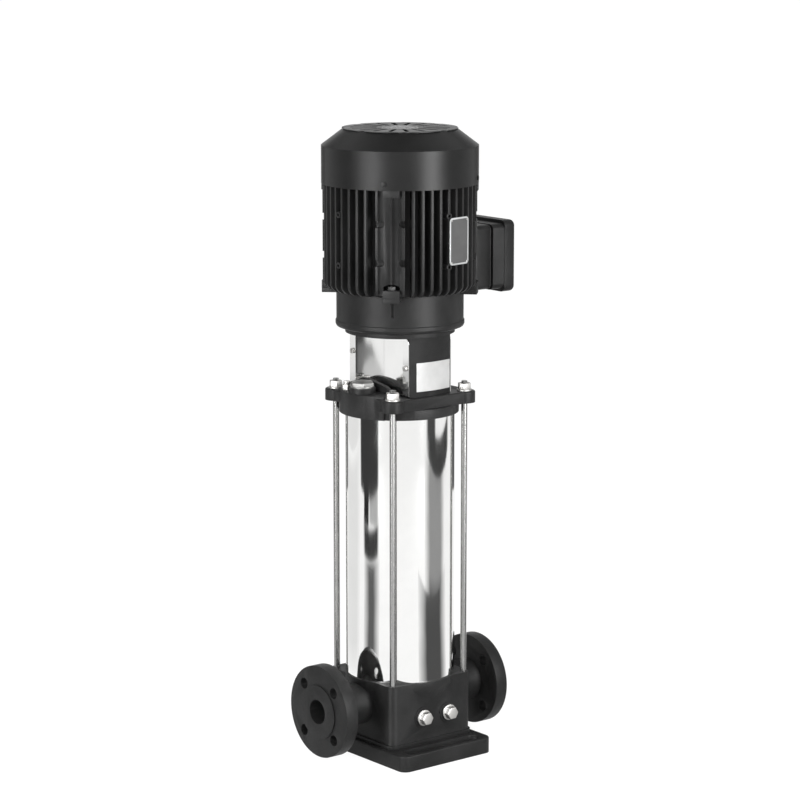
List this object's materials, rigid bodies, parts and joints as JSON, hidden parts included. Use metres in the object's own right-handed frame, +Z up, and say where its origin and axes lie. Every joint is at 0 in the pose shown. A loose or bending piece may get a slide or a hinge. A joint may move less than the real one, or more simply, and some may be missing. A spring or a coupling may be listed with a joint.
{
  "type": "vertical multistage pump",
  "caption": "Vertical inline multistage centrifugal pump: flanged cast base, polished sleeve, staybolts, guarded coupling and finned motor on top.",
  "frame": {"origin": "on the pump axis, at the underside of the base plate", "axes": "+Z up along the shaft; X along the pipe line with the inlet at -X; -Y is the front with the two plugs"},
  "size_m": [0.371, 0.2529, 1.0163],
  "materials": {
    "cast_black": "satin black paint over cast iron",
    "motor_black": "satin black paint",
    "cover_black": "semi-gloss black paint on pressed sheet",
    "mirror_stainless": "mirror-polished stainless steel",
    "satin_stainless": "satin stainless steel",
    "guard_stainless": "bright stainless sheet",
    "machined_steel": "machined steel",
    "fastener_zinc": "bright zinc-plated or stainless",
    "fastener_steel": "dark steel",
    "plate_metal": "bare satin plate with a bright border",
    "seal_rubber": "black rubber",
    "seal_carbide": "lapped carbide",
    "core_steel": "laminated steel",
    "winding_copper": "enamelled copper",
    "fan_plastic": "black moulded plastic",
    "gland_plastic": "black moulded plastic",
    "board_plastic": "cream moulded board with studs"
  },
  "bodies": {
    "root": {"base_casting": "cast_black", "base_plate": "cast_black", "base_plate_screws": "fastener_steel", "bearing_outer_rings": "machined_steel", "blanking_plug": "gland_plastic", "cable_gland": "gland_plastic", "chamber_1": "satin_stainless", "chamber_2": "satin_stainless", "chamber_3": "satin_stainless", "chamber_4": "satin_stainless", "chamber_5": "satin_stainless", "chamber_straps": "satin_stainless", "coupling_guard_left": "guard_stainless", "coupling_guard_right": "guard_stainless", "drain_plugs": "fastener_zinc", "end_shield_bolts": "fastener_steel", "fan_cover": "cover_black", "fan_cover_screws": "fastener_steel", "guard_screws": "fastener_zinc", "housing_bolts": "fastener_steel", "lid_screws": "fastener_zinc", "motor_flange": "motor_black", "motor_stool": "cast_black", "nameplate": "plate_metal", "nameplate_rivets": "fastener_zinc", "outer_sleeve": "mirror_stainless", "plug_gaskets": "seal_rubber", "priming_plug": "fastener_zinc", "pump_head": "cast_black", "seal_seat": "seal_carbide", "sleeve_o_rings": "seal_rubber", "stator_core": "core_steel", "stator_housing": "motor_black", "stator_windings": "winding_copper", "staybolt_nuts": "fastener_zinc", "staybolt_washers": "fastener_zinc", "staybolts": "satin_stainless", "stool_bolts": "fastener_steel", "suction_part": "satin_stainless", "terminal_board": "board_plastic", "terminal_box": "motor_black", "terminal_box_gasket": "seal_rubber", "terminal_box_lid": "motor_black", "top_chamber": "satin_stainless", "upper_end_shield": "motor_black", "vent_body": "fastener_zinc"},
    "rotor": {"motor_shaft": "machined_steel", "rotor_core": "core_steel", "cooling_fan": "fan_plastic", "coupling_halves": "machined_steel", "coupling_screws": "fastener_steel", "pump_shaft": "satin_stainless", "seal_ring": "seal_carbide", "bearing_inner_rings": "machined_steel", "impeller_1": "satin_stainless", "impeller_2": "satin_stainless", "impeller_3": "satin_stainless", "impeller_4": "satin_stainless", "impeller_5": "satin_stainless"},
    "vent": {"vent_spindle": "fastener_zinc"}
  },
  "joints": [
    {"name": "rotor_spin", "type": "hinge", "parent": "root", "child": "rotor", "pos_m": [0, 0, 0.6], "axis": [0, 0, 1], "continuous": true},
    {"name": "vent_turn", "type": "hinge", "parent": "root", "child": "vent", "pos_m": [-0.082, 0.034, 0.6], "axis": [0, 0, 1], "range_deg": [0, 540]}
  ]
}
